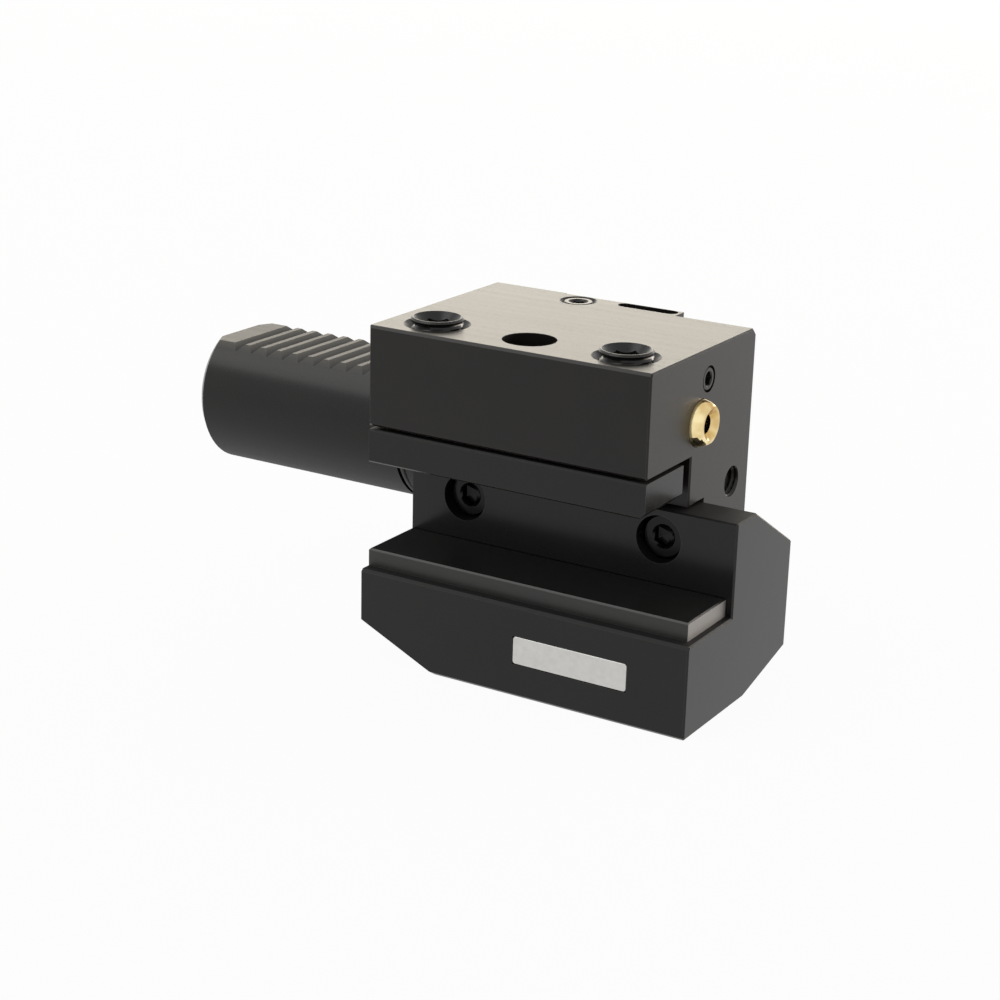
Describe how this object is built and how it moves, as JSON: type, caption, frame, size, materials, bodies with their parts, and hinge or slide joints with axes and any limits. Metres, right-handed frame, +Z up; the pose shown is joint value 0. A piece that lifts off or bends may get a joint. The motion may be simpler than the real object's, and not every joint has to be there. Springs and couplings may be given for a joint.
{
  "type": "axial tool holder with a toothed round shank",
  "caption": "Axial lathe-turret tool holder: round shank with a toothed flat, rectangular slot with a clamp bar and lower jaw, ball coolant nozzle.",
  "frame": {"origin": "where the shank's axis meets the flange's contact face", "axes": "+X along the shank's axis, away from the turret; +Y to the back of the holder, away from the slot's mouth; +Z up, from the jaw to the clamp screws"},
  "size_m": [0.125, 0.068, 0.0669],
  "materials": {
    "black_oxide_steel": "satin black oxide on ground steel",
    "black_screw_steel": "black oxide, slightly glossy",
    "bright_steel": "ground",
    "spring_steel": "drawn wire",
    "brass": "turned and polished",
    "rubber": "matt"
  },
  "bodies": {
    "holder": {"holder_body": "black_oxide_steel", "lower_jaw": "black_oxide_steel", "support_strip": "black_oxide_steel", "retaining_spring": "spring_steel", "jaw_screw_left": "black_screw_steel", "jaw_screw_right": "black_screw_steel", "jaw_pin_left": "bright_steel", "jaw_pin_right": "bright_steel", "strip_screw_left": "black_screw_steel", "strip_screw_right": "black_screw_steel", "nozzle_seal": "rubber", "shank_ring": "rubber", "upper_plug_screw": "black_screw_steel", "lower_plug_screw": "black_screw_steel", "top_plug_screw": "black_screw_steel"},
    "bar": {"clamp_bar": "black_oxide_steel", "retaining_screw": "black_screw_steel"},
    "screw_left": {"clamp_screw_left": "black_screw_steel"},
    "screw_right": {"clamp_screw_right": "black_screw_steel"},
    "nozzle": {"coolant_nozzle": "brass"}
  },
  "joints": [
    {"name": "bar_slide", "type": "slide", "parent": "holder", "child": "bar", "axis": [0, 0, -1], "range_m": [0, 0.003], "deforming": ["retaining_spring"]},
    {"name": "left_screw_turn", "type": "hinge", "parent": "bar", "child": "screw_left", "pos_m": [0.0095, -0.0233, 0.0289], "axis": [0, 0, -1], "range_deg": [0, 720.5]},
    {"name": "right_screw_turn", "type": "hinge", "parent": "bar", "child": "screw_right", "pos_m": [0.0495, -0.0233, 0.0289], "axis": [0, 0, -1], "range_deg": [0, 720.5]},
    {"name": "nozzle_tilt", "type": "hinge", "parent": "holder", "child": "nozzle", "pos_m": [0.0585, -0.0115, 0.014], "axis": [0, 1, 0], "range_deg": [-15, 15]}
  ],
  "couplings": [
    {"joint": "left_screw_turn", "follows": "bar_slide", "rad_per_m": 4188.8},
    {"joint": "right_screw_turn", "follows": "bar_slide", "rad_per_m": 4188.8}
  ]
}
